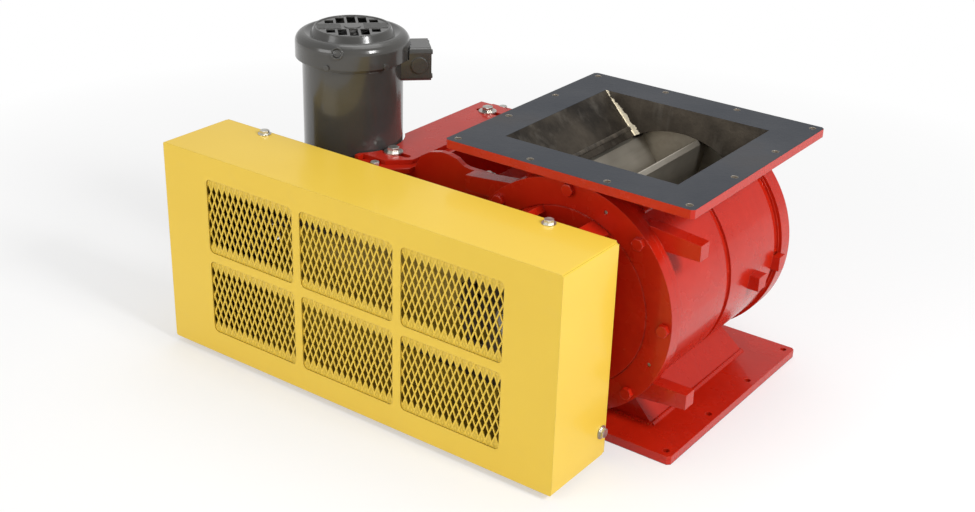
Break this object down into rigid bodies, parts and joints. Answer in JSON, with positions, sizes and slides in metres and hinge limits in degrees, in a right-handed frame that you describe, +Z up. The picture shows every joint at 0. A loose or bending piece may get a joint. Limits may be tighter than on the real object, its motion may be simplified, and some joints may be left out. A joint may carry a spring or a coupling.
{
  "type": "rotary airlock valve",
  "caption": "Rotary airlock valve with square inlet and outlet flanges, vaned rotor, end-plate bearings and a vertical gear motor driving it by a guarded roller chain.",
  "frame": {"origin": "centre of the outlet flange's bottom face", "axes": "+Z up from outlet to inlet, rotor axis along Y, chain guard on the -Y side, motor on the -X side"},
  "size_m": [0.914, 0.719, 0.5482],
  "materials": {
    "red_paint": "gloss enamel, even coat",
    "yellow_paint": "semi-gloss safety yellow enamel",
    "motor_paint": "semi-gloss dark grey enamel",
    "bearing_paint": "painted casting",
    "zinc_plate": "zinc plated",
    "machined_steel": "turned and ground",
    "rotor_steel": "mill finish, lightly oiled",
    "chain_steel": "dark oiled",
    "fan_cover_plastic": "semi-gloss dark grey enamel",
    "fan_plastic": "moulded",
    "rubber_seal": "matt",
    "packing_braid": "braided fibre",
    "bronze": "cast bronze",
    "brass_fitting": "bright",
    "lamination": "stacked sheet"
  },
  "bodies": {
    "valve": {"housing": "red_paint", "front_end_plate": "red_paint", "rear_end_plate": "red_paint", "front_end_bolts": "red_paint", "rear_end_bolts": "red_paint", "front_packing": "packing_braid", "rear_packing": "packing_braid", "front_gland": "bearing_paint", "rear_gland": "bearing_paint", "front_gland_studs": "zinc_plate", "rear_gland_studs": "zinc_plate", "front_bearing": "bearing_paint", "rear_bearing": "bearing_paint", "bearing_bolts": "zinc_plate", "rear_bearing_cap": "bearing_paint", "grease_fittings": "brass_fitting", "roller_chain": "chain_steel", "guard_cover": "yellow_paint", "guard_back_plate": "yellow_paint", "guard_mesh": "yellow_paint", "guard_bolts": "zinc_plate", "guard_spacers": "zinc_plate", "guard_spacer_bolts": "zinc_plate", "drive_bracket": "red_paint", "bracket_bolts": "zinc_plate", "motor_base": "red_paint", "motor_base_bolts": "zinc_plate", "reducer_bolts": "zinc_plate", "reducer_housing": "motor_paint", "reducer_side_cover": "motor_paint", "reducer_cover_screws": "zinc_plate", "reducer_end_cap": "motor_paint", "reducer_plugs": "zinc_plate", "output_seal": "rubber_seal", "motor_frame": "motor_paint", "motor_face_bell": "motor_paint", "motor_fan_bell": "motor_paint", "motor_bolts": "zinc_plate", "motor_stator": "lamination", "fan_cover": "fan_cover_plastic", "fan_cover_screws": "zinc_plate", "conduit_box": "motor_paint", "conduit_cover": "motor_paint", "conduit_screws": "zinc_plate"},
    "rotor_assembly": {"rotor": "rotor_steel", "rotor_shaft": "machined_steel", "bearing_inner_rings": "machined_steel", "driven_sprocket": "chain_steel", "sprocket_bushing": "machined_steel", "sprocket_key": "machined_steel"},
    "drive_shaft": {"output_shaft": "machined_steel", "worm_wheel": "bronze", "drive_sprocket": "chain_steel"},
    "motor_rotor": {"worm": "machined_steel", "motor_shaft": "machined_steel", "motor_rotor_core": "lamination", "cooling_fan": "fan_plastic"}
  },
  "joints": [
    {"name": "rotor_spin", "type": "hinge", "parent": "valve", "child": "rotor_assembly", "pos_m": [0, 0, 0.22], "axis": [0, 1, 0], "continuous": true},
    {"name": "drive_spin", "type": "hinge", "parent": "valve", "child": "drive_shaft", "pos_m": [-0.57767, 0, 0.19], "axis": [0, 1, 0], "continuous": true},
    {"name": "motor_spin", "type": "hinge", "parent": "valve", "child": "motor_rotor", "pos_m": [-0.52067, -0.118, 0.3], "axis": [0, 0, 1], "continuous": true}
  ],
  "couplings": [
    {"joint": "drive_spin", "follows": "rotor_spin", "ratio": 2},
    {"joint": "motor_spin", "follows": "rotor_spin", "ratio": 60}
  ]
}
